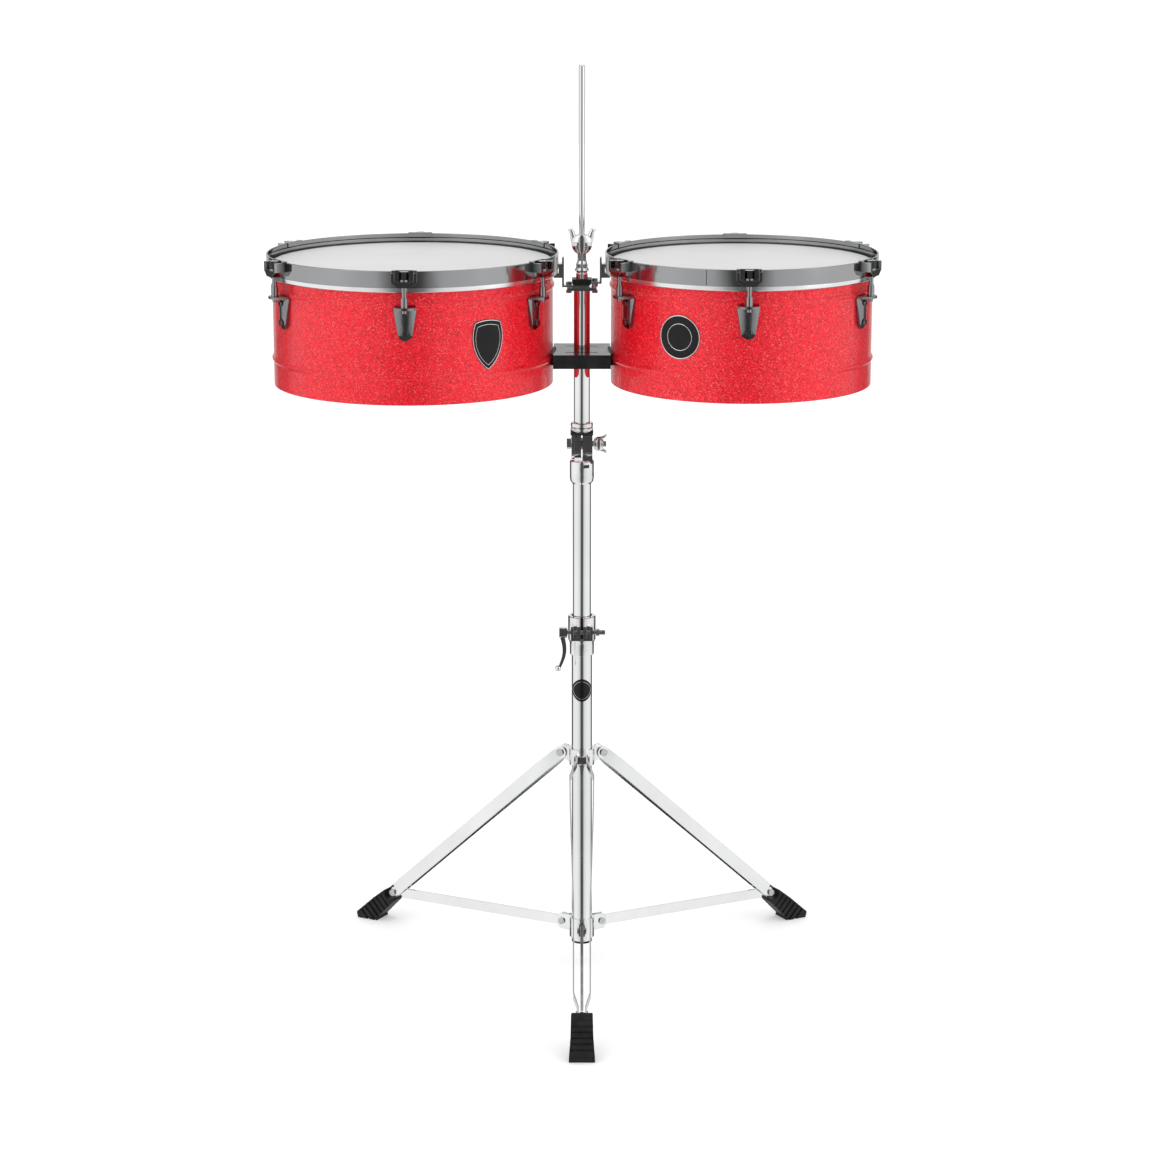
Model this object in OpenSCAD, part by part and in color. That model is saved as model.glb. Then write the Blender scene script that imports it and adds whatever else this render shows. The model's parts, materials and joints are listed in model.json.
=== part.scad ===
// Timbales: two open-bottomed metal drums on a bracket block, a tilting post and a folding tripod.
// Every place is measured from the mast's axis (X, Y) and from the floor (Z), in millimetres.
// +X is to the player's right as seen from the front, +Y is away from the front leg, +Z is up.

/* [Drums] */
// Outside radius of the plain wall of the left shell (a 15 inch drum)
left_shell_r = 188; // [180:0.5:190]
// Outside radius of the plain wall of the right shell (a 14 inch drum)
right_shell_r = 175.5; // [170:0.5:180]
// Distance from the mast to the left drum's axis
left_drum_x = 227; // [225:0.5:232]
// Distance from the mast to the right drum's axis
right_drum_x = 214.5; // [212:0.5:220]
// Depth of both shells
shell_depth = 164; // [150:1:180]
// Height of the playing surface above the floor
head_z = 992; // [985:1:1000]
// Height of the flat band hoops
hoop_h = 22; // [18:1:26]
// Number of tension rods on each drum
rod_count = 6; // [6:2:8]

/* [Mast] */
// Outside radius of the lower tube
lower_tube_r = 14.3; // [13.5:0.1:15]
// Outside radius of the upper tube
upper_tube_r = 12.7; // [12:0.1:13]
// Outside radius of the post between the drums
post_r = 11.1; // [10:0.1:11.5]
// Height of the tilter's axis above the floor
tilt_z = 741; // [735:1:745]
// Height of the top of the bell rod
bell_top_z = 1252; // [1200:1:1300]
// Radius of the bell rod
bell_rod_r = 4; // [3.5:0.05:4.1]

/* [Tripod] */
// Distance of the upper leg pivots from the mast
leg_pivot_r = 30; // [29:0.5:32]
// Height of the upper leg pivots above the floor
leg_pivot_z = 301.5; // [299:0.5:304]
// Angle of the open legs from the vertical
leg_open_angle = 47.9; // [47:0.1:49]
// Length of a leg from its upper pivot to its brace pivot
leg_reach = 384; // [380:1:386]
// Distance of the lower brace pivots from the mast
brace_pivot_r = 30; // [29:0.5:31]
// Height of the lower brace pivots above the floor
brace_pivot_z = 53; // [52:0.5:55]
// Width of the leg strips
strip_w = 18; // [16:0.5:19]
// Thickness of the leg strips
strip_t = 2; // [1.6:0.1:2.4]

/* [Hidden] */
$fn = 72;

// Clearances: play is a running fit, gap keeps different pieces apart where nothing runs
play = 0.05;
gap = 0.1;

// Drum details
shell_wall = 1.4;
film_t = 0.4;
bead_h = 2.3;
bead_half = 4.8;
shell_top = head_z - film_t;
shell_bottom = head_z - shell_depth;
bead_low_z = shell_bottom + 36;
bead_high_z = head_z - 32;
hoop_t = 2.4;
hoop_over_shell = 8;
hoop_z = head_z - 10;
hoop_top = hoop_z + hoop_h;
flesh_z = hoop_z - 6.2;
left_hoop_r = left_shell_r + hoop_over_shell;
right_hoop_r = right_shell_r + hoop_over_shell;

// Claws, tension rods and lugs, measured from the hoop's outer face
claw_w = 33;
claw_depth = 14;
claw_floor = 12;
rod_off = 6.8;
rod_r = 3.2;
rod_head_top = hoop_top + 0.8;
lug_top = 957.8;
lug_low = 913;
lug_half = 14.6;
lug_plate_t = 6.5;
lug_ledge_t = 3.2;
lug_ledge_out = 22;
rod_low = 950.5;
lug_bolt_z = [948, 922.5];
lug_bolt_r = 2.5;

// Bracket block between the drums
block_z = 852.4;
block_h = 18.6;
block_half_x = 38.5;
block_half_y = 50;
pad_t = 4.3;
pad_half_y = 30;
mount_bolt_y = 20;
mount_bolt_r = 4;
mount_head_x = 42.4;
block_mid_z = block_z + block_h / 2;

// Top of the post: two plates, two hoop hooks and the bell rod's holder
plate_z = 952;
plate_t = 2.3;
plate_half_x = 20;
plate_half_y = 13;
hook_bolt_x = 17.4;
hook_bolt_r = 2;
hook_w = 18;
hook_t = 2.6;
hook_out = 26.6;
hook_base_z = plate_z + 2 * plate_t;
hook_spacer = 4.6;
bell_base_z = hook_base_z + hook_t;
bell_base_h = 8.3;
bell_nut_z = 1001;
bell_bore_z = 984;
bell_rod_low = 996;
bell_grip_z = 1056;
bell_tail_r = bell_rod_r - 0.25;
stem_foot_r = 3.5;

// Tilter
disc_r = 19.5;
disc_split = 0.85;
disc_side = 14.4;
hood_in = 20.4;
hood_out = 23;
collar_z = 764;
tilter_bolt_r = 4;
tilter_body_top = 719.5;
tilter_body_low = 687;

// Height clamp
clamp_low = 446;
clamp_step = 462;
clamp_top = 501;
clamp_bolt_y = -18.5;
clamp_bolt_z = 481;
clamp_bolt_r = 3.5;
bush_t = 1.5;
tube_wall = 1.5;
lower_tube_low = 31;
lower_tube_top = 470;
upper_tube_low = 230;
upper_tube_top = 716;

// Tripod
leg_turns = [-90, 30, 150];
strip_top_y = 7.65;
strip_wide_y = 16.4;
strip_low_y = 10.9;
strip_pinch_y = 5;
leg_end = 404;
foot_top = 386;
foot_tip = 451;
brace_h = 14;
brace_t = 4;
pivot_r = 3;
ear_half = 6.2;
bracket_low = 288;
bracket_h = 23;
bracket_r = 17.7;
lower_ear_y = 2.4;
lower_ear_t = 2;
joint_r = leg_pivot_r + leg_reach * sin(leg_open_angle);
joint_z = leg_pivot_z - leg_reach * cos(leg_open_angle);
brace_slope = atan2(joint_z - brace_pivot_z, joint_r - brace_pivot_r);
brace_reach = norm([joint_r - brace_pivot_r, joint_z - brace_pivot_z]);

// The footprint's centre is the origin, so the mast stands a little to one side of it
foot_tip_r = 372.8;
mast_x = (left_drum_x + left_hoop_r - right_drum_x - right_hoop_r) / 2;
mast_y = (foot_tip_r - left_hoop_r - claw_depth) / 2;

module at_mast() {
    translate([mast_x, mast_y, 0]) children();
}

module at_drum(side) {
    x = side < 0 ? -left_drum_x : right_drum_x;
    at_mast() translate([x, 0, 0]) children();
}

// A rod or tube along +X, starting at x = from
module rod_x(r, from, to) {
    translate([from, 0, 0]) rotate([0, 90, 0]) cylinder(r = r, h = to - from);
}

// A rod or tube along +Y, starting at y = from
module rod_y(r, from, to) {
    translate([0, from, 0]) rotate([-90, 0, 0]) cylinder(r = r, h = to - from);
}

module box(from, to) {
    translate(from) cube(to - from);
}

// ---------------------------------------------------------------- drums

function bump(d) = abs(d) >= bead_half ? 0 : pow(cos(90 * d / bead_half), 2);
function shell_out(r, z) = r + bead_h * (bump(z - bead_low_z) + bump(z - bead_high_z));
shell_levels = concat(
    [shell_bottom],
    [for (c = [bead_low_z, bead_high_z], k = [-4:4]) c + k * bead_half / 4],
    [shell_top]
);

// Half section of the shell: a thin wall with two rolled beads and a lip turned in at the bottom
module shell_section(r) {
    n = len(shell_levels);
    lip = 2.2;
    polygon(concat(
        [for (z = shell_levels) [shell_out(r, z), z]],
        [for (i = [n - 1:-1:1]) [shell_out(r, shell_levels[i]) - shell_wall, shell_levels[i]]],
        [
            [r - shell_wall, shell_bottom + shell_wall],
            [r - shell_wall - lip, shell_bottom + shell_wall],
            [r - shell_wall - lip, shell_bottom]
        ]
    ));
}

// Solid of the shell's outside plus a gap, used to fit pieces against the shell
module shell_envelope(r) {
    n = len(shell_levels);
    rotate_extrude($fn = 144) polygon(concat(
        [[0, shell_bottom - 1]],
        [[r + gap, shell_bottom - 1]],
        [for (z = shell_levels) [shell_out(r, z) + gap, z]],
        [[0, shell_top]]
    ));
}

module around_rods() {
    for (i = [0:rod_count - 1]) rotate([0, 0, -90 + i * 360 / rod_count]) children();
}

module lug_bolt_axes(r) {
    around_rods() for (z = lug_bolt_z) translate([r, 0, z]) children();
}

module drum_shell(side, r) {
    at_drum(side) color("crimson") difference() {
        rotate_extrude($fn = 144) shell_section(r);
        lug_bolt_axes(r) rod_x(lug_bolt_r + play, -5, 5);
        for (y = [-mount_bolt_y, mount_bolt_y])
            translate([0, y, block_mid_z])
                rotate([0, 0, side < 0 ? 0 : 180]) rod_x(mount_bolt_r + play, r - 12, r + 5);
    }
}

module drum_head(side, r) {
    at_drum(side) color("whitesmoke") rotate_extrude($fn = 144) polygon([
        [0, shell_top],
        [r + gap, shell_top],
        [r + gap, flesh_z + 1],
        [r + gap + film_t, flesh_z + 1],
        [r + gap + film_t, head_z - 1.2],
        [r - 0.6, head_z],
        [0, head_z]
    ]);
}

module flesh_hoop(side, r) {
    r_in = r + 2 * gap + film_t;
    r_out = r + hoop_over_shell - 0.8;
    at_drum(side) color("gainsboro") rotate_extrude($fn = 144) polygon([
        [r_in, flesh_z],
        [r_out - 1, flesh_z],
        [r_out, flesh_z + 1],
        [r_out, hoop_z],
        [r_in, hoop_z]
    ]);
}

// Flat band hoop with a foot turned in at the bottom that presses on the flesh hoop
module drum_hoop(side, r) {
    r_out = r + hoop_over_shell;
    r_foot = r + 1.6;
    at_drum(side) color([0.22, 0.23, 0.24]) rotate_extrude($fn = 144) polygon([
        [r_foot, hoop_z],
        [r_out, hoop_z],
        [r_out, hoop_top - 0.6],
        [r_out - 0.6, hoop_top],
        [r_out - hoop_t + 0.6, hoop_top],
        [r_out - hoop_t, hoop_top - 0.6],
        [r_out - hoop_t, hoop_z + 2],
        [r_foot, hoop_z + 2]
    ]);
}

// One claw: a fork that holds a rod's head, with a lip hooked over the hoop
module claw(hoop_r) {
    half = claw_w / 2;
    fork = half - 4.2;
    floor_z = hoop_top - claw_floor;
    low = hoop_top - 20;
    difference() {
        union() {
            translate([hoop_r - 1, 0, 0]) rotate([90, 0, 90]) linear_extrude(claw_depth + 1) polygon([
                [-half, hoop_top - 0.8],
                [-half, low + 7],
                [-8.5, low],
                [8.5, low],
                [half, low + 7],
                [half, hoop_top - 0.8]
            ]);
            box([hoop_r - 4.4, -half, hoop_top - 5], [hoop_r + 3, half, hoop_top + 1.3]);
        }
        translate([0, 0, low - 1]) cylinder(r = hoop_r + gap / 2, h = 21 + gap / 2, $fn = 144);
        translate([hoop_r, -fork, floor_z]) cube([claw_depth + 2, 2 * fork, 20]);
        translate([hoop_r + rod_off, 0, low - 1]) cylinder(r = rod_r + 0.3, h = 20);
    }
    intersection() {
        box([hoop_r - 4.4, -half, hoop_top - 5], [hoop_r - 2, half, hoop_top + 0.5]);
        translate([0, 0, hoop_top - 5]) cylinder(r = hoop_r - hoop_t - gap / 2, h = 6, $fn = 144);
    }
}

module drum_claws(side, r) {
    at_drum(side) color([0.25, 0.26, 0.27]) around_rods() claw(r + hoop_over_shell);
}

// One tension rod: hexagon head with a flange, and a shank that ends in the lug
module tension_rod() {
    flange_z = hoop_top - claw_floor;
    flange_r = 6.6;
    hex_r = 6.3;
    translate([0, 0, rod_low]) cylinder(r = rod_r, h = flange_z - rod_low + 1);
    translate([0, 0, flange_z + gap]) cylinder(r = flange_r, h = 2.2);
    translate([0, 0, flange_z + 2]) rotate([0, 0, 30])
        cylinder(r = hex_r, h = rod_head_top - flange_z - 2, $fn = 6);
}

module tension_rods(side, r) {
    at_drum(side) color([0.3, 0.31, 0.32])
        around_rods() translate([r + hoop_over_shell + rod_off, 0, 0]) tension_rod();
}

// Front outline of a lug casing: a shield with a round lower end
module lug_outline() {
    tip_r = 9.5;
    tip_z = lug_low + tip_r;
    polygon(concat(
        [
            [-11.5, lug_top],
            [-lug_half + 0.7, lug_top - 1.6],
            [-lug_half, lug_top - 5]
        ],
        [for (a = [190:10:350]) [tip_r * cos(a), tip_z + tip_r * sin(a)]],
        [
            [lug_half, lug_top - 5],
            [lug_half - 0.7, lug_top - 1.6],
            [11.5, lug_top]
        ]
    ));
}

// A domed shield bolted to the shell, with a ledge on top that a tension rod passes through
module lug(r) {
    front = r + lug_plate_t;
    tip = r + lug_ledge_out;
    dome_r = 24;
    ledge_z = lug_top - lug_ledge_t;
    difference() {
        union() {
            intersection() {
                translate([r - 3, 0, 0]) rotate([90, 0, 90]) linear_extrude(lug_plate_t + 4) lug_outline();
                translate([front - dome_r, 0, lug_low - 1]) cylinder(r = dome_r, h = lug_top - lug_low + 2);
                translate([front - 90, 0, (lug_low + lug_top) / 2 + 2]) rotate([90, 0, 0])
                    translate([0, 0, -30]) cylinder(r = 90, h = 60, $fn = 144);
            }
            translate([0, 0, ledge_z]) linear_extrude(lug_ledge_t) polygon([
                [r - 3, -lug_half + 1],
                [tip - 7, -lug_half + 1],
                [tip - 2, -lug_half + 5],
                [tip, -4],
                [tip, 4],
                [tip - 2, lug_half - 5],
                [tip - 7, lug_half - 1],
                [r - 3, lug_half - 1]
            ]);
        }
        shell_envelope(r);
        translate([r + hoop_over_shell + rod_off, 0, ledge_z - 5]) cylinder(r = rod_r + 0.3, h = 12);
        for (z = lug_bolt_z) translate([r, 0, z]) rod_x(lug_bolt_r + play, -5, 30);
    }
}

module drum_lugs(side, r) {
    at_drum(side) color([0.28, 0.3, 0.3]) around_rods() lug(r);
}

// Nuts that hold the rods on the ledges, and the screws and nuts that hold the lugs to the shell
module lug_hardware(side, r) {
    at_drum(side) color([0.35, 0.36, 0.37]) {
        around_rods() translate([r + hoop_over_shell + rod_off, 0, 0])
            ring_nut(rod_r + play, 4.7, lug_top + gap, lug_top + 13);
        lug_bolt_axes(r) lug_bolt();
        lug_bolt_axes(r) difference() {
            rod_x(5, -7.4, -3.4);
            rod_x(lug_bolt_r + play, -8, -3);
        }
    }
}

module ring_nut(r_in, r_out, low, high) {
    difference() {
        translate([0, 0, low]) cylinder(r = r_out, h = high - low);
        translate([0, 0, low - 1]) cylinder(r = r_in, h = high - low + 2);
    }
}

// Screw with a round, cross-recessed head on the face of the lug
module lug_bolt() {
    head_r = 4.1;
    head_t = 2;
    difference() {
        union() {
            rod_x(lug_bolt_r, -9, lug_plate_t + 1);
            rod_x(head_r, lug_plate_t + gap / 2, lug_plate_t + head_t);
        }
        translate([lug_plate_t + 1, -2.6, -0.5]) cube([3, 5.2, 1]);
        translate([lug_plate_t + 1, -0.5, -2.6]) cube([3, 1, 5.2]);
    }
}

// A thin plate wrapped on a cylinder of radius r, its outline in the (y, z) plane
module wrapped_plate(r, thick, turn, z) {
    rotate([0, 0, turn]) intersection() {
        translate([0, 0, z - 60]) difference() {
            cylinder(r = r + thick, h = 120, $fn = 144);
            translate([0, 0, -1]) cylinder(r = r, h = 122, $fn = 144);
        }
        translate([0, 0, z]) rotate([90, 0, 90]) linear_extrude(2 * r) children();
    }
}

// Plain shield, taller than wide
module shield_outline(w, h) {
    side_r = w * 1.15;
    intersection() {
        translate([side_r - w / 2, h * 0.12]) circle(r = side_r);
        translate([w / 2 - side_r, h * 0.12]) circle(r = side_r);
        translate([-w, -h]) square([2 * w, 1.5 * h]);
        translate([0, h * 0.5 - w * 1.3]) circle(r = w * 1.3);
    }
}

module left_badge() {
    at_drum(-1) color("black") wrapped_plate(left_shell_r + gap, 0.8, -56, 906) shield_outline(46, 60);
}

module right_badge() {
    at_drum(1) color("black") wrapped_plate(right_shell_r + gap, 0.8, -120, 912) circle(r = 29);
}

module left_shell() { drum_shell(-1, left_shell_r); }
module left_head() { drum_head(-1, left_shell_r); }
module left_flesh_hoop() { flesh_hoop(-1, left_shell_r); }
module left_hoop() { drum_hoop(-1, left_shell_r); }
module left_claws() { drum_claws(-1, left_shell_r); }
module left_tension_rods() { tension_rods(-1, left_shell_r); }
module left_lugs() { drum_lugs(-1, left_shell_r); }
module left_lug_hardware() { lug_hardware(-1, left_shell_r); }
module right_shell() { drum_shell(1, right_shell_r); }
module right_head() { drum_head(1, right_shell_r); }
module right_flesh_hoop() { flesh_hoop(1, right_shell_r); }
module right_hoop() { drum_hoop(1, right_shell_r); }
module right_claws() { drum_claws(1, right_shell_r); }
module right_tension_rods() { tension_rods(1, right_shell_r); }
module right_lugs() { drum_lugs(1, right_shell_r); }
module right_lug_hardware() { lug_hardware(1, right_shell_r); }

// ---------------------------------------------------------------- bracket between the drums

// Cuts both ends of a piece to follow the shells, offset mm outside their walls
module drum_cutters(offset, low, h) {
    translate([-left_drum_x, 0, low]) cylinder(r = left_shell_r + offset, h = h, $fn = 144);
    translate([right_drum_x, 0, low]) cylinder(r = right_shell_r + offset, h = h, $fn = 144);
}

module bracket_block() {
    slot_y = 26;
    slot_half = 22;
    slot_w = 3.4;
    slot_deep = 5;
    at_mast() color([0.2, 0.2, 0.2]) difference() {
        box([-block_half_x, -block_half_y, block_z], [block_half_x, block_half_y, block_z + block_h]);
        drum_cutters(pad_t, block_z - 1, block_h + 2);
        translate([0, 0, block_z - 1]) cylinder(r = post_r + play, h = block_h + 2);
        for (y = [-slot_y, slot_y])
            box([-slot_half, y - slot_w / 2, block_z + block_h - slot_deep],
                [slot_half, y + slot_w / 2, block_z + block_h + 1]);
        for (s = [-1, 1], y = [-mount_bolt_y, mount_bolt_y])
            translate([0, y, block_mid_z]) scale([s, 1, 1]) rod_x(mount_bolt_r + play, 15, 45);
        translate([0, 0, block_mid_z]) rod_y(4 + play, 5, 60);
    }
}

module mount_pads() {
    at_mast() color([0.08, 0.08, 0.08]) difference() {
        intersection() {
            drum_cutters(pad_t - gap / 2, block_z + 1.5, block_h - 3);
            box([-60, -pad_half_y, block_z], [60, pad_half_y, block_z + block_h]);
        }
        translate([-left_drum_x, 0, 0]) shell_envelope(left_shell_r);
        translate([right_drum_x, 0, 0]) shell_envelope(right_shell_r);
        for (y = [-mount_bolt_y, mount_bolt_y])
            translate([0, y, block_mid_z]) rod_x(mount_bolt_r + play, -70, 70);
    }
}

module mount_bolts() {
    at_mast() color([0.5, 0.5, 0.5])
        for (s = [-1, 1], y = [-mount_bolt_y, mount_bolt_y])
            translate([0, y, block_mid_z]) rotate([0, 0, s < 0 ? 180 : 0]) {
                rod_x(mount_bolt_r, 16, mount_head_x + 1);
                translate([mount_head_x, 0, 0]) rotate([0, 90, 0]) cylinder(r = 7.2, h = 5.5, $fn = 6);
            }
}

module block_screw() {
    at_mast() color([0.5, 0.5, 0.5]) translate([0, 0, block_mid_z]) difference() {
        union() {
            rod_y(4, post_r + gap, block_half_y + 1);
            rod_y(6.5, block_half_y + gap / 2, block_half_y + 8);
        }
        translate([0, block_half_y + 4, 0]) rotate([-90, 0, 0]) cylinder(r = 3.4, h = 5, $fn = 6);
    }
}

// ---------------------------------------------------------------- top of the post

module post() {
    top = plate_z + plate_t;
    at_mast() color("silver") difference() {
        union() {
            translate([0, 0, collar_z - 2]) cylinder(r = post_r, h = plate_z - collar_z + 3);
            box([-plate_half_x, -plate_half_y, plate_z], [plate_half_x, plate_half_y, top]);
        }
        translate([0, 0, collar_z - 3]) cylinder(r = post_r - 1.6, h = plate_z - collar_z + 3);
        plate_holes(plate_z - 1, top + 1);
    }
}

module plate_holes(low, high) {
    for (x = [-hook_bolt_x, hook_bolt_x])
        translate([x, 0, low]) cylinder(r = hook_bolt_r + play, h = high - low);
    translate([0, 0, low]) cylinder(r = stem_foot_r + play, h = high - low);
}

module clamp_plate() {
    low = plate_z + plate_t;
    at_mast() color("silver") difference() {
        box([-plate_half_x, -plate_half_y, low], [plate_half_x, plate_half_y, hook_base_z]);
        plate_holes(low - 1, hook_base_z + 1);
    }
}

// Bent strap from x_in to the hoop of one drum, with a jaw under the hoop; side is -1 or 1
module hoop_hook(side, x_in, base_z, hole_x) {
    drum_x = side < 0 ? left_drum_x : right_drum_x;
    shell_r = side < 0 ? left_shell_r : right_shell_r;
    hoop_r = shell_r + hoop_over_shell;
    half = hook_w / 2;
    jaw_low = flesh_z - 6.6;
    jaw_top = hoop_z + 6;
    at_mast() color("silver") rotate([0, 0, side < 0 ? 180 : 0]) difference() {
        union() {
            box([x_in, -half, base_z], [hook_out, half, base_z + hook_t]);
            box([hook_out - hook_t, -half, base_z], [hook_out, half, hoop_top - 7]);
            box([hook_out - hook_t, -half, jaw_low], [drum_x - shell_r - 1, half, jaw_top]);
        }
        translate([drum_x, 0, flesh_z - gap]) cylinder(r = hoop_r + gap, h = 60, $fn = 144);
        translate([drum_x, 0, jaw_low - 1]) cylinder(r = shell_r + 1.2, h = 60, $fn = 144);
        for (x = hole_x) translate([x, 0, base_z - 1]) cylinder(r = hook_bolt_r + play, h = hook_t + 2);
        if (x_in < 0) translate([0, 0, base_z - 1]) cylinder(r = stem_foot_r + play, h = hook_t + 2);
    }
}

module left_hoop_hook() { hoop_hook(-1, -10, hook_base_z, [hook_bolt_x]); }
module right_hoop_hook() { hoop_hook(1, 13.5, hook_base_z + hook_spacer, [hook_bolt_x]); }

// Two bolts through the plates and hooks, their nuts, and a spacer under the right hook
module hook_bolts() {
    nut_h = 3.6;
    right_base = hook_base_z + hook_spacer;
    at_mast() color([0.15, 0.15, 0.15]) {
        for (s = [-1, 1]) {
            base = s < 0 ? hook_base_z : right_base;
            translate([s * hook_bolt_x, 0, 0]) {
                translate([0, 0, plate_z - 3]) cylinder(r = hook_bolt_r, h = base + hook_t + 5.4 - plate_z);
                translate([0, 0, plate_z - 4 - gap]) cylinder(r = 3.9, h = 4, $fn = 6);
                translate([0, 0, base + hook_t + gap]) difference() {
                    cylinder(r = 3.9, h = nut_h, $fn = 6);
                    translate([0, 0, -1]) cylinder(r = hook_bolt_r + play, h = nut_h + 2);
                }
            }
        }
        translate([hook_bolt_x, 0, 0])
            ring_nut(hook_bolt_r + play, 4.2, hook_base_z, right_base);
    }
}

module bell_base() {
    half = 13.3;
    at_mast() color([0.1, 0.1, 0.1]) difference() {
        translate([0, 12, bell_base_z]) rotate([90, 0, 0]) linear_extrude(24) polygon([
            [-half + 2.6, 0],
            [half - 2.6, 0],
            [half, 2.8],
            [half, bell_base_h],
            [-half, bell_base_h],
            [-half, 2.8]
        ]);
        translate([0, 0, bell_base_z - 1]) cylinder(r = stem_foot_r + play, h = bell_base_h + 2);
    }
}

module bell_stem() {
    base = bell_base_z + bell_base_h;
    at_mast() color("silver") difference() {
        rotate_extrude() polygon([
            [0, plate_z],
            [stem_foot_r, plate_z],
            [stem_foot_r, base],
            [7.9, base],
            [7.9, base + 6.5],
            [6.8, base + 8],
            [10, base + 11],
            [7.8, base + 15],
            [7.8, base + 19],
            [5.85, base + 25],
            [5.85, bell_nut_z - gap],
            [5.2, bell_nut_z - gap],
            [5.2, bell_nut_z + 18],
            [0, bell_nut_z + 18]
        ]);
        translate([0, 0, bell_bore_z]) cylinder(r = bell_tail_r + play, h = 60);
    }
}

// Outline of a pair of wings, its foot on y = 0, tips to each side
module wing_outline(bowl_r, tip_x, tip_y) {
    right = concat(
        [for (a = [-90:15:15]) [bowl_r * cos(a), bowl_r + bowl_r * sin(a)]],
        [
            [tip_x, tip_y - 3],
            [tip_x - 1.2, tip_y],
            [tip_x * 0.72, tip_y - 0.6],
            [tip_x * 0.36, tip_y * 0.68],
            [0, tip_y * 0.6]
        ]
    );
    polygon(right);
    mirror([1, 0]) polygon(right);
}

// A wing nut along +Z with its foot at z = 0
module wing_nut(bore_r, hub_r, hub_h, bowl_r, tip_x, tip_y, thick) {
    difference() {
        union() {
            cylinder(r = hub_r, h = hub_h);
            translate([0, thick / 2, 0]) rotate([90, 0, 0]) linear_extrude(thick)
                wing_outline(bowl_r, tip_x, tip_y);
        }
        translate([0, 0, -1]) cylinder(r = bore_r, h = tip_y + 2);
    }
}

module bell_wing_nut() {
    at_mast() color("silver") translate([0, 0, bell_nut_z])
        wing_nut(5.2 + play, 6.6, 22, 16.5, 19, 35, 4);
}

// The rod's lower end is turned down to slide in the stem
module bell_rod() {
    at_mast() color("silver") {
        translate([0, 0, bell_rod_low]) cylinder(r = bell_tail_r, h = bell_grip_z - bell_rod_low + 1);
        translate([0, 0, bell_grip_z]) cylinder(r = bell_rod_r, h = bell_top_z - bell_grip_z - 1);
        translate([0, 0, bell_top_z - 1]) cylinder(r1 = bell_rod_r, r2 = bell_rod_r - 1, h = 1);
    }
}

// ---------------------------------------------------------------- tilter

// The upper half's disc carries a hood over both discs and the collar of the post
module tilter_upper() {
    hood_low = 14.8;
    at_mast() color("silver") difference() {
        union() {
            translate([0, 0, tilt_z]) rod_x(disc_r, -disc_side, -disc_split);
            translate([0, 0, tilt_z]) rod_x(hood_in + 0.5, -disc_side + 0.6, -10);
            intersection() {
                translate([0, 0, tilt_z]) rod_x(hood_out, -disc_side - 1, disc_side + 1);
                box([-20, -30, tilt_z + hood_low], [20, 30, tilt_z + 30]);
            }
            rotate_extrude() polygon([
                [0, collar_z - 5],
                [13.4, collar_z - 5],
                [13.4, collar_z - 1],
                [15.3, collar_z + 1.6],
                [15.3, collar_z + 6.2],
                [14.4, collar_z + 7.2],
                [0, collar_z + 7.2]
            ]);
        }
        translate([0, 0, collar_z - 2 - play]) cylinder(r = post_r + play, h = 20);
        translate([0, 0, tilt_z]) rod_x(tilter_bolt_r + play, -30, 0);
        translate([0, 0, tilt_z]) rod_x(hood_in, -disc_split, disc_side + 5);
    }
}

module tilter_lower() {
    at_mast() color("silver") difference() {
        union() {
            translate([0, 0, tilt_z]) rod_x(disc_r, disc_split, disc_side);
            rotate_extrude() polygon([
                [0, tilter_body_low],
                [14, tilter_body_low],
                [16, tilter_body_low + 3],
                [16.7, tilter_body_low + 8],
                [16.7, tilter_body_top - 2],
                [15.2, tilter_body_top],
                [0, tilter_body_top]
            ]);
            box([disc_split, -12, tilter_body_top - 4], [disc_side, 12, tilt_z - 8]);
        }
        translate([0, 0, tilter_body_low - 1])
            cylinder(r = upper_tube_r + play, h = upper_tube_top - tilter_body_low + 1.5);
        translate([0, 0, tilt_z]) rod_x(tilter_bolt_r + play, 0, 30);
        box([2, -20, tilter_body_top - 9.6], [20, -13.4, tilter_body_top - 5]);
    }
}

module tilter_washer() {
    at_mast() color([0.1, 0.1, 0.1]) translate([0, 0, tilt_z]) difference() {
        rod_x(8, -disc_split + gap, disc_split - gap);
        rod_x(tilter_bolt_r + play, -2, 2);
    }
}

module tilter_bolt() {
    at_mast() color("silver") translate([0, 0, tilt_z]) {
        rod_x(tilter_bolt_r, -disc_side - 2, 33);
        translate([-disc_side - 6 - gap, 0, 0]) rotate([0, 90, 0]) cylinder(r = 7.2, h = 6, $fn = 6);
    }
}

module tilter_wing_nut() {
    at_mast() color("silver") translate([disc_side + 1.6, 0, tilt_z]) rotate([0, 90, 0])
        wing_nut(tilter_bolt_r + play, 6, 10, 9, 14, 18, 3.2);
}

// ---------------------------------------------------------------- mast tubes and height clamp

module tube(r, wall, low, high) {
    difference() {
        translate([0, 0, low]) cylinder(r = r, h = high - low);
        translate([0, 0, low - 1]) cylinder(r = r - wall, h = high - low + 2);
    }
}

module upper_tube() {
    at_mast() color("silver") tube(upper_tube_r, tube_wall, upper_tube_low, upper_tube_top);
}

module height_bush() {
    in_r = upper_tube_r + play;
    at_mast() color([0.15, 0.15, 0.15])
        tube(in_r + bush_t, bush_t, lower_tube_top + gap, clamp_top - 1.5);
}

module lower_tube() {
    at_mast() color("silver") difference() {
        translate([0, 0, lower_tube_low]) cylinder(r = lower_tube_r, h = lower_tube_top - lower_tube_low);
        translate([0, 0, lower_tube_low - 1])
            cylinder(r = upper_tube_r + play, h = lower_tube_top - lower_tube_low + 2);
    }
}

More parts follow.
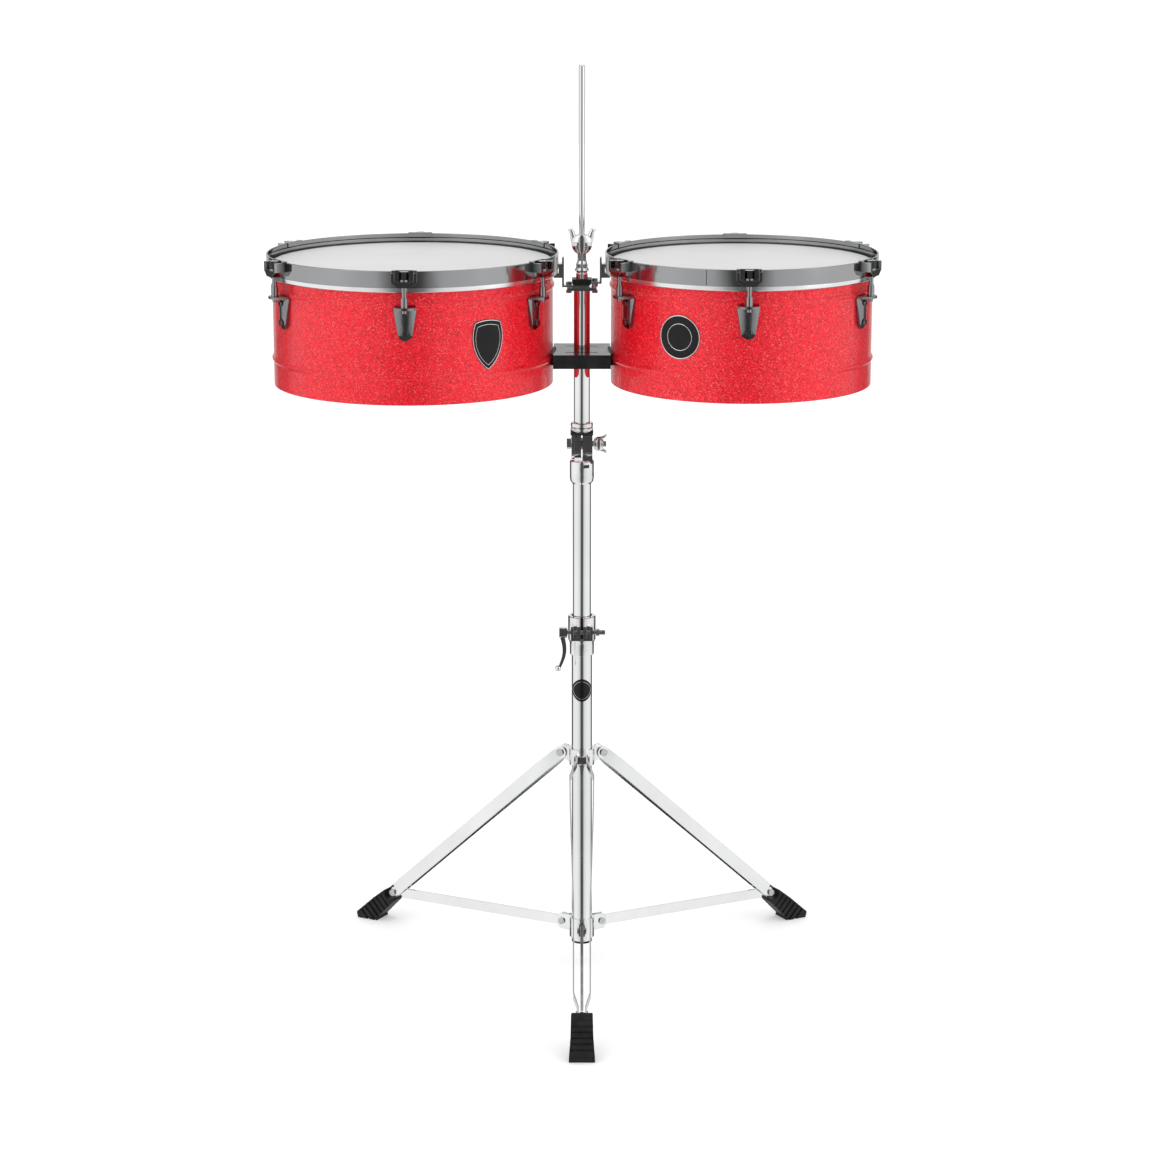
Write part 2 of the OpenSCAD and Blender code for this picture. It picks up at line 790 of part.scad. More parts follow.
// Split casting on top of the lower tube, with ears in front for the clamp bolt
module height_clamp() {
    bush_r = upper_tube_r + bush_t + 2 * play;
    rib_x = [6.4, 11.4];
    at_mast() color("silver") difference() {
        union() {
            rotate_extrude() polygon([
                [0, clamp_low],
                [16.4, clamp_low],
                [17, clamp_low + 1],
                [17, clamp_step],
                [19.3, clamp_step + 6],
                [19.3, clamp_top - 1],
                [18.3, clamp_top],
                [0, clamp_top]
            ]);
            box([-15, -24.5, clamp_bolt_z - 11], [15, -10, clamp_bolt_z + 9]);
        }
        translate([0, 0, clamp_low - 1])
            cylinder(r = lower_tube_r + play, h = lower_tube_top - clamp_low + 1);
        translate([0, 0, lower_tube_top - 1]) cylinder(r = bush_r, h = 60);
        box([-1.6, -30, clamp_step + 4], [1.6, 0, clamp_top + 1]);
        for (s = [-1, 1]) scale([s, 1, 1])
            box([rib_x[0], -30, clamp_step + 12], [rib_x[1], -20, clamp_top - 4]);
        translate([0, clamp_bolt_y, clamp_bolt_z]) rod_x(clamp_bolt_r + play, -30, 30);
    }
}

module height_clamp_bolt() {
    at_mast() color("silver") translate([0, clamp_bolt_y, clamp_bolt_z]) {
        rod_x(clamp_bolt_r, -24, 32);
        rod_x(5.2, 19.6, 24);
    }
}

// Side outline of the lever's arm: it bows out and tapers towards the ball
module lever_outline(arm) {
    bow = 5;
    steps = 8;
    taper = 2.6;
    lean = -3;
    hub_low = -6;
    hub_x = [-30, -23.6];
    function drop(i) = hub_low - (arm + hub_low) * i / steps;
    function bend(i) = bow * sin(180 * i / steps) + lean * i / steps;
    polygon(concat(
        [for (i = [0:steps]) [hub_x[0] + bend(i), drop(i)]],
        [for (i = [steps:-1:0]) [hub_x[1] + bend(i) - taper * i / steps, drop(i)]]
    ));
}

// Cast lever: a hub on the clamp bolt and a curved arm with a ball end, hanging down
module height_clamp_lever() {
    arm = 50;
    arm_t = 6;
    ball_x = -32.4;
    ball_r = 4.4;
    at_mast() color("silver") translate([0, clamp_bolt_y, clamp_bolt_z]) {
        difference() {
            rod_x(8, -31, -20);
            rod_x(clamp_bolt_r + play, -24 - gap, -10);
        }
        translate([0, arm_t / 2, 0]) rotate([90, 0, 0]) linear_extrude(arm_t) lever_outline(arm);
        translate([ball_x, 0, -arm - 1]) rotate_extrude()
            polygon([for (a = [-90:15:90]) [ball_r * cos(a), ball_r * sin(a)]]);
    }
}

// Plain dark label wrapped on the front of the lower tube
module tube_badge() {
    at_mast() color("black")
        wrapped_plate(lower_tube_r + gap, 0.5, -90, 397) scale([0.84, 1]) circle(r = 16);
}

module tube_plug() {
    at_mast() color([0.1, 0.1, 0.1]) {
        translate([0, 0, lower_tube_low - 3]) cylinder(r = lower_tube_r, h = 3);
        translate([0, 0, lower_tube_low - 1]) cylinder(r = upper_tube_r, h = 16);
    }
}

// ---------------------------------------------------------------- tripod

module at_leg(turn) {
    at_mast() rotate([0, 0, turn]) children();
}

module around_legs() {
    at_mast() for (turn = leg_turns) rotate([0, 0, turn]) children();
}

// Frame of a leg at rest: +X down the leg from its upper pivot, +Y tangential, +Z to its outer side
module leg_frame() {
    translate([leg_pivot_r, 0, leg_pivot_z]) rotate([0, 90 - leg_open_angle, 0]) children();
}

// Sliding casting that carries the three legs
module leg_bracket() {
    at_mast() color("silver") difference() {
        union() {
            translate([0, 0, bracket_low]) cylinder(r = bracket_r, h = bracket_h);
            for (turn = leg_turns) rotate([0, 0, turn])
                translate([0, ear_half, 0]) rotate([90, 0, 0]) linear_extrude(2 * ear_half) {
                    translate([leg_pivot_r, leg_pivot_z]) circle(r = 7);
                    polygon([
                        [15, bracket_low + 1],
                        [leg_pivot_r + 2, leg_pivot_z - 6.5],
                        [leg_pivot_r + 1, leg_pivot_z + 6.8],
                        [15, bracket_low + bracket_h - 1]
                    ]);
                }
            translate([0, 0, bracket_low + bracket_h / 2]) rod_y(8, 10, 25);
        }
        translate([0, 0, bracket_low - 1]) cylinder(r = lower_tube_r + 0.1, h = bracket_h + 2);
        translate([0, 0, bracket_low + bracket_h / 2]) rod_y(4 + play, 5, 40);
    }
}

module leg_clamp_screw() {
    at_mast() color("silver") translate([0, 0, bracket_low + bracket_h / 2]) {
        rod_y(4, lower_tube_r + 0.3, 33);
        translate([0, 26, 0]) rotate([-90, 0, 0]) wing_nut(3.9, 6.6, 10, 10, 16, 19, 3.6);
    }
}

// One leg: two bent strips, wide apart below the bracket and pinched above the foot
module leg_strip() {
    path = [
        [-strip_w / 2, strip_top_y],
        [6, strip_top_y],
        [28, strip_wide_y],
        [75, strip_wide_y - 0.5],
        [225, strip_low_y + 0.3],
        [356, strip_low_y],
        [376, strip_pinch_y],
        [leg_end, strip_pinch_y]
    ];
    n = len(path);
    half = strip_t / 2;
    difference() {
        intersection() {
            translate([0, 0, -strip_w / 2]) linear_extrude(strip_w) polygon(concat(
                [for (i = [0:n - 1]) path[i] + [0, half]],
                [for (i = [n - 1:-1:0]) path[i] - [0, half]]
            ));
            union() {
                rod_y(strip_w / 2, 0, 30);
                box([0, 0, -20], [leg_end, 30, 20]);
            }
        }
        rod_y(pivot_r + play, 0, 30);
        translate([leg_reach, 0, 0]) rod_y(pivot_r + play, 0, 30);
    }
}

module leg_strips(turn) {
    at_leg(turn) color("silver") leg_frame() {
        leg_strip();
        mirror([0, 1, 0]) leg_strip();
    }
}

// Rivets of a leg: a head on each side at the upper pivot, and one right through at the brace pivot
module leg_rivets(turn) {
    outer = strip_top_y + strip_t / 2;
    pinch = strip_pinch_y + strip_t / 2;
    at_leg(turn) color("silver") leg_frame() {
        for (s = [-1, 1]) rotate([s < 0 ? 180 : 0, 0, 0]) {
            rod_y(pivot_r, outer - strip_t, outer + 1);
            rod_y(5.4, outer + gap / 2, outer + 2.2);
        }
        translate([leg_reach, 0, 0]) {
            rod_y(pivot_r, -pinch - 1, pinch + 1);
            rod_y(4.8, pinch + gap / 2, pinch + 2);
            rod_y(4.8, -pinch - 2, -pinch - gap / 2);
        }
    }
}

// Side outline of a rubber foot in the leg's frame, cut flat where it meets the floor
module foot_section() {
    polygon([
        [foot_top - 1, 8.5],
        [foot_top + 1.5, 10],
        [foot_top + 26, 11.6],
        [foot_tip - 2, 11.4],
        [foot_tip, 9.4],
        [foot_tip + 20, -40],
        [foot_tip - 12, -40],
        [foot_tip - 22, -14.6],
        [foot_tip - 34, -14],
        [foot_top + 1.5, -12],
        [foot_top - 1, -10.5]
    ]);
}

module foot(turn) {
    groove = 1.3;
    groove_w = 2.6;
    top_half = 14.2;
    low_half = 17.6;
    slot_half = strip_pinch_y + strip_t / 2 + gap;
    at_leg(turn) color([0.07, 0.07, 0.07]) difference() {
        intersection() {
            leg_frame() translate([0, 30, 0]) rotate([90, 0, 0]) linear_extrude(60) foot_section();
            leg_frame() translate([0, 0, -60]) linear_extrude(120) polygon([
                [foot_top - 2, -top_half + 1.5],
                [foot_top + 2, -top_half],
                [foot_top + 34, -top_half - 0.6],
                [foot_tip + 10, -low_half],
                [foot_tip + 10, low_half],
                [foot_top + 34, top_half + 0.6],
                [foot_top + 2, top_half],
                [foot_top - 2, top_half - 1.5]
            ]);
            box([250, -30, 0], [foot_tip_r, 30, 80]);
        }
        for (i = [0:5]) leg_frame() translate([foot_top + 11 + 8.4 * i, 0, 0]) {
            for (s = [-1, 1]) scale([1, s, 1]) box([0, top_half - groove, -30], [groove_w, 30, 30]);
            box([0, -30, 11.6 - groove], [groove_w, 30, 30]);
        }
        leg_frame() for (s = [-1, 1]) scale([1, s, 1])
            box([foot_top - 5, strip_pinch_y - strip_t / 2 - gap, -strip_w / 2 - gap],
                [leg_end + gap, slot_half, strip_w / 2 + gap]);
        leg_frame() translate([leg_reach, 0, 0]) rod_y(brace_h / 2 + 2, -40, 40);
    }
}

// Flat bar from the lower bracket to the leg, with round ends and true pivot holes
module brace(turn) {
    end_r = brace_h / 2;
    at_leg(turn) color("silver") translate([brace_pivot_r, 0, brace_pivot_z]) rotate([0, -brace_slope, 0])
        difference() {
            translate([0, brace_t / 2, 0]) rotate([90, 0, 0]) linear_extrude(brace_t) union() {
                circle(r = end_r);
                translate([0, -end_r]) square([brace_reach, 2 * end_r]);
                translate([brace_reach, 0]) circle(r = end_r - 0.01);
            }
            rod_y(pivot_r + play, -10, 10);
            translate([brace_reach, 0, 0]) rod_y(pivot_r + play, -10, 10);
        }
}

// Bracket at the foot of the lower tube, with a pair of ears for each brace
module lower_bracket() {
    hub_low = 36;
    hub_r = 17.4;
    ear_top = brace_pivot_z + 10.5;
    ear_low = brace_pivot_z - 11.5;
    ear_end = brace_pivot_r + 8;
    at_mast() color("silver") difference() {
        union() {
            translate([0, 0, hub_low]) cylinder(r = hub_r, h = 28);
            for (turn = leg_turns) rotate([0, 0, turn])
                translate([0, lower_ear_y + lower_ear_t, 0]) rotate([90, 0, 0])
                    linear_extrude(2 * (lower_ear_y + lower_ear_t)) polygon([
                        [15, ear_low],
                        [ear_end - 5, ear_low],
                        [ear_end, ear_low + 6],
                        [ear_end, ear_top - 5],
                        [ear_end - 5, ear_top],
                        [15, ear_top]
                    ]);
        }
        translate([0, 0, hub_low - 1]) cylinder(r = lower_tube_r + play, h = 30);
        for (turn = leg_turns) rotate([0, 0, turn]) {
            translate([brace_pivot_r, 0, brace_pivot_z]) rod_y(pivot_r + play, -10, 10);
            box([15.4, -lower_ear_y, ear_low - 3], [ear_end + 5, lower_ear_y, ear_top + 3]);
        }
    }
}

module brace_pins() {
    outer = lower_ear_y + lower_ear_t;
    around_legs() color("silver") translate([brace_pivot_r, 0, brace_pivot_z]) {
        rod_y(pivot_r, -outer - 1, outer + 1);
        rod_y(4.8, outer + gap / 2, outer + 2);
        rod_y(4.8, -outer - 2, -outer - gap / 2);
    }
}

module front_leg() { leg_strips(leg_turns[0]); }
module front_leg_rivets() { leg_rivets(leg_turns[0]); }
module front_foot() { foot(leg_turns[0]); }
module front_brace() { brace(leg_turns[0]); }
module right_leg() { leg_strips(leg_turns[1]); }
module right_leg_rivets() { leg_rivets(leg_turns[1]); }
module right_foot() { foot(leg_turns[1]); }
module right_brace() { brace(leg_turns[1]); }
module left_leg() { leg_strips(leg_turns[2]); }
module left_leg_rivets() { leg_rivets(leg_turns[2]); }
module left_foot() { foot(leg_turns[2]); }
module left_brace() { brace(leg_turns[2]); }

left_shell();
left_head();
left_flesh_hoop();
left_hoop();
left_claws();
left_tension_rods();
left_lugs();
left_lug_hardware();
left_badge();
right_shell();
right_head();
right_flesh_hoop();
right_hoop();
right_claws();
right_tension_rods();
right_lugs();
right_lug_hardware();
right_badge();
mount_pads();
mount_bolts();
bracket_block();
block_screw();
post();
clamp_plate();
left_hoop_hook();
right_hoop_hook();
hook_bolts();
bell_base();
bell_stem();
bell_wing_nut();
bell_rod();
tilter_upper();
tilter_lower();
tilter_washer();
tilter_bolt();
tilter_wing_nut();
upper_tube();
height_bush();
height_clamp();
height_clamp_bolt();
height_clamp_lever();
lower_tube();
tube_badge();
tube_plug();
lower_bracket();
brace_pins();
leg_bracket();
leg_clamp_screw();
front_leg();
front_leg_rivets();
front_foot();
front_brace();
right_leg();
right_leg_rivets();
right_foot();
right_brace();
left_leg();
left_leg_rivets();
left_foot();
left_brace();
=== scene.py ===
"""Looks of the timbales: materials, rounded edges, detailed pieces, light and camera."""

import json
import math

import bmesh
import bpy
from mathutils import Matrix, Vector


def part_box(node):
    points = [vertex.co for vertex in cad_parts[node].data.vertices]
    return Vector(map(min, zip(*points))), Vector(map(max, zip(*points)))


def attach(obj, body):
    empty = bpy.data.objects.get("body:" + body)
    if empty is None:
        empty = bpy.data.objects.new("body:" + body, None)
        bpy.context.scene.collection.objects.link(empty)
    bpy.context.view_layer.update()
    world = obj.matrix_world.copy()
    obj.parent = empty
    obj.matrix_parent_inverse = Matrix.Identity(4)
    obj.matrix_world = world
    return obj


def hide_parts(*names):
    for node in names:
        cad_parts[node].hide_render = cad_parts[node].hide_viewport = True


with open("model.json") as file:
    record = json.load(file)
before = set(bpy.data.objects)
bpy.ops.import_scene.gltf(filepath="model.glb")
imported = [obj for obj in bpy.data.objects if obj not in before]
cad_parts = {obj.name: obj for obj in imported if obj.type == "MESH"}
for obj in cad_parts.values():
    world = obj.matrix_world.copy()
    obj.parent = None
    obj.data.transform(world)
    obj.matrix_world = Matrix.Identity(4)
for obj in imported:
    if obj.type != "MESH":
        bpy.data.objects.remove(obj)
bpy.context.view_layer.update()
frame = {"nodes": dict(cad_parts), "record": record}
MM = 0.001
IMAGE_PX = 1150
record = frame["record"]
slot_of = {part["node"]: part["material_slot"] for part in record["subparts"]}


# ---------------------------------------------------------------- places from the frame

def middle(node):
    low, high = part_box(node)
    return (low + high) / 2


def mast_axis():
    """The mast's axis, where it meets the floor."""
    place = middle("upper_tube")
    return Vector((place.x, place.y, 0))


MAST = mast_axis()


# ---------------------------------------------------------------- node helpers

class Graph:
    """A node tree under construction; inputs map a socket's name or number to a value or an output."""

    def __init__(self, tree):
        self.tree = tree

    def node(self, kind, inputs=None, **settings):
        made = self.tree.nodes.new(kind)
        for key, value in settings.items():
            setattr(made, key, value)
        for key, value in (inputs or {}).items():
            if isinstance(value, bpy.types.NodeSocket):
                self.tree.links.new(value, made.inputs[key])
            else:
                made.inputs[key].default_value = value
        return made

    def link(self, source, target):
        self.tree.links.new(source, target)

    def ramp(self, value, stops):
        """Colour at value, between stops of (place from 0 to 1, colour)."""
        made = self.node("ShaderNodeValToRGB", {"Fac": value})
        ramp = made.color_ramp
        while len(ramp.elements) < len(stops):
            ramp.elements.new(1.0)
        for element, (at, colour) in zip(ramp.elements, stops):
            element.position = at
            element.color = (*colour, 1.0)
        return made.outputs["Color"]


class Paint(Graph):
    """A material under construction, with short calls for the nodes it uses."""

    def __init__(self, name, **sockets):
        self.material = bpy.data.materials.new(name)
        self.material.use_nodes = True
        super().__init__(self.material.node_tree)
        self.shader = self.tree.nodes["Principled BSDF"]
        for key, value in sockets.items():
            self.shader.inputs[key.replace("_", " ")].default_value = value

    def place(self):
        """Position on the piece in metres, which stays with the piece when it moves."""
        return self.node("ShaderNodeTexCoord").outputs["Object"]

    def noise(self, scale, detail=3.0, roughness=0.5, distortion=0.0, place=None):
        inputs = {"Vector": place or self.place(), "Scale": scale, "Detail": detail}
        inputs.update({"Roughness": roughness, "Distortion": distortion})
        return self.node("ShaderNodeTexNoise", inputs).outputs["Fac"]

    def cells(self, scale):
        return self.node("ShaderNodeTexVoronoi", {"Vector": self.place(), "Scale": scale})

    def spread(self, value, low, high, start=0.0, end=1.0):
        """Maps value from start..end to low..high."""
        inputs = {"Value": value, "From Min": start, "From Max": end, "To Min": low, "To Max": high}
        return self.node("ShaderNodeMapRange", inputs).outputs["Result"]

    def bump(self, height, distance, strength=1.0, normal=None):
        inputs = {"Height": height, "Distance": distance, "Strength": strength}
        if normal is not None:
            inputs["Normal"] = normal
        return self.node("ShaderNodeBump", inputs).outputs["Normal"]


# ---------------------------------------------------------------- materials

def sparkle_lacquer(name):
    """Red lacquer over metal flakes: small cells, each with its own tilt and its own red."""
    paint = Paint(name, Metallic=0.30, Coat_Weight=0.5, Coat_Roughness=0.04, Coat_IOR=1.4)
    flakes = paint.cells(820.0)
    fine = paint.cells(2300.0)
    shade = paint.node("ShaderNodeSeparateColor", {"Color": flakes.outputs["Color"]})
    base = paint.ramp(shade.outputs["Red"], [
        (0.0, (0.40, 0.0, 0.006)),
        (0.30, (0.80, 0.002, 0.014)),
        (0.60, (1.0, 0.004, 0.024)),
        (0.88, (1.0, 0.016, 0.038)),
        (1.0, (1.0, 0.16, 0.15)),
    ])
    depth = paint.spread(paint.noise(5.0, 3.0), 0.0, 0.20, 0.35, 0.70)
    deeper = paint.node("ShaderNodeMix", {"Factor": depth, "A": base, "B": (0.80, 0.0, 0.016, 1.0)},
                        data_type="RGBA")
    paint.link(deeper.outputs["Result"], paint.shader.inputs["Base Color"])
    tilt = paint.node("ShaderNodeVectorMath", {0: fine.outputs["Color"], 1: (0.5, 0.5, 0.5)},
                      operation="SUBTRACT")
    small = paint.node("ShaderNodeVectorMath", {0: tilt.outputs["Vector"], "Scale": 0.45},
                       operation="SCALE")
    facing = paint.node("ShaderNodeNewGeometry").outputs["Normal"]
    turned = paint.node("ShaderNodeVectorMath", {0: facing, 1: small.outputs["Vector"]}, operation="ADD")
    unit = paint.node("ShaderNodeVectorMath", {0: turned.outputs["Vector"]}, operation="NORMALIZE")
    paint.link(unit.outputs["Vector"], paint.shader.inputs["Normal"])
    paint.link(paint.spread(shade.outputs["Green"], 0.28, 0.45), paint.shader.inputs["Roughness"])
    return paint.material


def plated(name, colour, low, high, smudge=14.0, grain=900.0, depth=0.00001):
    """Bright plate: a few soft smudges in the gloss and a very fine polish grain."""
    paint = Paint(name, Metallic=1.0)
    smudges = paint.noise(smudge, 4.0, 0.55)
    tint = tuple(c * 0.90 for c in colour)
    paint.link(paint.ramp(smudges, [(0.30, tint), (0.65, colour)]), paint.shader.inputs["Base Color"])
    paint.link(paint.spread(smudges, low, high, 0.3, 0.7), paint.shader.inputs["Roughness"])
    paint.link(paint.bump(paint.noise(grain, 2.0), depth, 0.3), paint.shader.inputs["Normal"])
    return paint.material


def cast_plate(name, colour, low, high):
    """Plate on a casting: the polish leaves slow waves and a faint orange peel."""
    paint = Paint(name, Metallic=1.0)
    smudges = paint.noise(26.0, 4.0, 0.55)
    tint = tuple(c * 0.86 for c in colour)
    paint.link(paint.ramp(smudges, [(0.30, tint), (0.65, colour)]), paint.shader.inputs["Base Color"])
    paint.link(paint.spread(smudges, low, high, 0.3, 0.7), paint.shader.inputs["Roughness"])
    waves = paint.bump(paint.noise(150.0, 1.0), 0.00030, 0.6)
    peel = paint.bump(paint.noise(1100.0, 2.0), 0.00002, 0.4, waves)
    paint.link(peel, paint.shader.inputs["Normal"])
    return paint.material


def moulded(name, dark, light, low, high, grain=1300.0, depth=0.00006, shine=0.22):
    """Moulded plastic or rubber: fine grain and dusty, paler patches."""
    paint = Paint(name, Specular_IOR_Level=shine)
    dust = paint.noise(60.0, 5.0, 0.6)
    paint.link(paint.ramp(dust, [(0.35, dark), (0.70, light)]), paint.shader.inputs["Base Color"])
    paint.link(paint.spread(dust, low, high, 0.3, 0.7), paint.shader.inputs["Roughness"])
    paint.link(paint.bump(paint.noise(grain, 3.0), depth, 0.5), paint.shader.inputs["Normal"])
    return paint.material


def drum_film(name):
    """White film: almost even, with a milky haze and a very fine, matt tooth."""
    paint = Paint(name, Coat_Weight=0.15, Coat_Roughness=0.25, Specular_IOR_Level=0.35)
    haze = paint.noise(9.0, 4.0, 0.5)
    base = paint.ramp(haze, [(0.30, (0.70, 0.70, 0.70)), (0.70, (0.74, 0.74, 0.737))])
    paint.link(base, paint.shader.inputs["Base Color"])
    paint.link(paint.spread(haze, 0.40, 0.50, 0.3, 0.7), paint.shader.inputs["Roughness"])
    tooth = paint.bump(paint.noise(1600.0, 2.0), 0.00002, 0.4)
    paint.link(tooth, paint.shader.inputs["Normal"])
    return paint.material


def bare_steel(name):
    """Zinc-plated steel with fine turning marks."""
    paint = Paint(name, Metallic=1.0)
    marks = paint.noise(300.0, 5.0, 0.7)
    paint.link(paint.ramp(marks, [(0.3, (0.42, 0.43, 0.45)), (0.7, (0.62, 0.63, 0.65))]),
               paint.shader.inputs["Base Color"])
    paint.link(paint.spread(marks, 0.18, 0.34, 0.3, 0.7), paint.shader.inputs["Roughness"])
    paint.link(paint.bump(marks, 0.00004, 0.4), paint.shader.inputs["Normal"])
    return paint.material


CHROME = (0.87, 0.875, 0.88)
NICKEL = (0.38, 0.385, 0.39)
paints = {
    "shell_red": sparkle_lacquer("sparkle_lacquer"),
    "head_film": drum_film("drum_film"),
    "flesh_ring": plated("flesh_ring_metal", (0.88, 0.885, 0.89), 0.16, 0.26, 30.0),
    "hoop_nickel": plated("hoop_black_nickel", NICKEL, 0.07, 0.13, 9.0),
    "lug_nickel": cast_plate("lug_black_nickel", (0.27, 0.275, 0.28), 0.16, 0.26),
    "rod_nickel": plated("rod_black_nickel", (0.34, 0.345, 0.35), 0.10, 0.18, 40.0),
    "chrome_tube": plated("tube_chrome", CHROME, 0.03, 0.07, 7.0),
    "chrome_cast": cast_plate("cast_chrome", CHROME, 0.04, 0.10),
    "chrome_strip": plated("strip_chrome", CHROME, 0.06, 0.12, 12.0),
    "steel_bolt": bare_steel("zinc_steel"),
    "black_block": moulded("block_black", (0.012, 0.013, 0.014), (0.022, 0.023, 0.024), 0.16, 0.26, 900.0,
                           0.00003, 0.5),
    "black_rubber": moulded("foot_rubber", (0.006, 0.006, 0.0065), (0.018, 0.018, 0.019), 0.38, 0.55),
    "black_nylon": moulded("black_nylon", (0.010, 0.010, 0.011), (0.022, 0.022, 0.023), 0.30, 0.42),
    "badge_black": moulded("badge_black", (0.006, 0.006, 0.007), (0.010, 0.010, 0.011), 0.12, 0.20, 400.0,
                           0.00002),
}


# ---------------------------------------------------------------- CAD pieces: finish and rounded edges

EDGE_ANGLE = math.radians(32)
SEAM_GAP = 0.004 * MM
# Edge radius in mm of the pieces whose edges are rounder than the rest
edge_radius = {
    "bracket_block": 0.9, "height_clamp": 0.7, "tilter_upper": 0.6, "tilter_lower": 0.7,
    "height_clamp_lever": 1.0, "bell_wing_nut": 1.0, "tilter_wing_nut": 0.8, "leg_clamp_screw": 0.9,
    "leg_bracket": 0.8, "lower_bracket": 0.5, "post": 0.4, "clamp_plate": 0.5, "bell_stem": 0.4,
    "bell_base": 0.9, "left_hoop_hook": 0.5, "right_hoop_hook": 0.5,
}
UNROUNDED = ("upper_tube", "lower_tube", "height_bush", "left_head", "right_head")
DEFAULT_EDGE = 0.35


def round_edges(piece, radius):
    """Joins the seams of an imported mesh, rounds its sharp edges and shades it smoothly."""
    if "custom_normal" in piece.data.attributes:
        piece.data.attributes.remove(piece.data.attributes["custom_normal"])
    piece.data.shade_smooth()
    weld = piece.modifiers.new("weld", "WELD")
    weld.merge_threshold = SEAM_GAP
    if radius > 0:
        bevel = piece.modifiers.new("edges", "BEVEL")
        bevel.width = radius * MM
        bevel.segments = 2
        bevel.limit_method = "ANGLE"
        bevel.angle_limit = EDGE_ANGLE
        bevel.miter_outer = "MITER_ARC"
    normals = piece.modifiers.new("normals", "WEIGHTED_NORMAL")
    normals.keep_sharp = True


for name, piece in frame["nodes"].items():
    piece.data.materials.clear()
    piece.data.materials.append(paints[slot_of[name]])
    for polygon in piece.data.polygons:
        polygon.material_index = 0
    round_edges(piece, 0 if name in UNROUNDED else edge_radius.get(name, DEFAULT_EDGE))


# ---------------------------------------------------------------- detailed pieces

def new_piece(name, build, slot, body):
    """Makes a smooth object of the finished mesh, with its slot's paint, that rides on a body."""
    mesh = bpy.data.meshes.new(name)
    bmesh.ops.recalc_face_normals(build, faces=build.faces)
    build.to_mesh(mesh)
    build.free()
    mesh.shade_smooth()
    mesh.materials.append(paints[slot])
    piece = bpy.data.objects.new(name, mesh)
    bpy.context.scene.collection.objects.link(piece)
    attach(piece, body)
    return piece


def join_rings(build, rings, closed):
    """Faces between neighbouring rings; a closed run also joins the last ring to the first."""
    pairs = list(zip(rings, rings[1:]))
    if closed:
        pairs.append((rings[-1], rings[0]))
    for low, high in pairs:
        for k in range(len(low)):
            after = (k + 1) % len(low)
            build.faces.new((low[k], low[after], high[after], high[k]))


def turn_of(a, b, c):
    """Positive where the way from a by b to c turns to the left."""
    return (b[0] - a[0]) * (c[1] - a[1]) - (b[1] - a[1]) * (c[0] - a[0])


def convex(points):
    """Convex outline of flat points, in order."""
    points = sorted(set(points))

    def half(ordered):
        chain = []
        for p in ordered:
            while len(chain) > 1 and turn_of(chain[-2], chain[-1], p) <= 0:
                chain.pop()
            chain.append(p)
        return chain[:-1]

    return half(points) + half(points[::-1])


def leave(outline, ray):
    """Where a ray from the middle leaves a convex outline."""
    for a, b in zip(outline, outline[1:] + outline[:1]):
        edge = (b[0] - a[0], b[1] - a[1])
        cross = ray[0] * edge[1] - ray[1] * edge[0]
        if abs(cross) < 1e-15:
            continue
        t = (a[0] * edge[1] - a[1] * edge[0]) / cross
        u = (a[0] * ray[1] - a[1] * ray[0]) / cross
        if t > 0 and -1e-6 <= u <= 1 + 1e-6:
            return (ray[0] * t, ray[1] * t)
    raise ValueError("the outline doesn't go round the middle")


class WrappedBadge:
    """A badge's outline, unrolled from the cylinder that it is wrapped on."""

    STEPS = 120

    def __init__(self, node, axis):
        self.axis = axis
        self.centre = middle(node)
        away = self.centre - axis
        self.turn = math.atan2(away.y, away.x)
        piece = frame["nodes"][node]
        points = [piece.matrix_world @ v.co - axis for v in piece.data.vertices]
        self.face = max(math.hypot(p.x, p.y) for p in points)
        flat = []
        for p in points:
            angle = (math.atan2(p.y, p.x) - self.turn + math.pi) % (2 * math.pi) - math.pi
            flat.append((angle * self.face, p.z - self.centre.z))
        hull = convex(flat)
        turns = [2 * math.pi * k / self.STEPS for k in range(self.STEPS)]
        self.outline = [leave(hull, (math.cos(a), math.sin(a))) for a in turns]

    def place(self, across, up):
        angle = self.turn + across / self.face
        out = Vector((math.cos(angle), math.sin(angle), 0))
        return self.axis + self.face * out + Vector((0, 0, self.centre.z + up)), out


def badge_trim(name, node, axis, beads, body):
    """Bright round beads on a badge, one for each (scale of the outline, radius in mm)."""
    badge = WrappedBadge(node, axis)
    build = bmesh.new()
    sides = 8
    for scale, radius in beads:
        spots = [badge.place(scale * across, scale * up) for across, up in badge.outline]
        rings = []
        for k, (point, out) in enumerate(spots):
            along = (spots[(k + 1) % len(spots)][0] - spots[k - 1][0]).normalized()
            side = along.cross(out).normalized()
            turns = [2 * math.pi * n / sides for n in range(sides)]
            rings.append([build.verts.new(point + radius * MM * (math.cos(a) * side + math.sin(a) * out))
                          for a in turns])
        join_rings(build, rings, closed=True)
    new_piece(name, build, "chrome_strip", body)


# Least wall round a wing nut's bore in mm, and how much of its width a bowl has front to back
NUT_WALL = 1.6
BOWL_FLAT = 0.6
# What the smoothing takes off a wing, added beforehand
WING_SPARE = 1.05


def add_bowl(build, bore, levels, sides=40):
    """A bowl round a straight bore, flattened front to back but never thinner than the bore's wall."""
    turns = [2 * math.pi * k / sides for k in range(sides)]
    low, high = levels[0][1], levels[-1][1]
    ovals = [(bore, bore, high), (bore, bore, low)]
    ovals += [(radius, max(radius * BOWL_FLAT, bore + NUT_WALL), z) for radius, z in levels]
    rings = [[build.verts.new((across * math.cos(a), depth * math.sin(a), z)) for a in turns]
             for across, depth, z in ovals]
    join_rings(build, rings, closed=True)


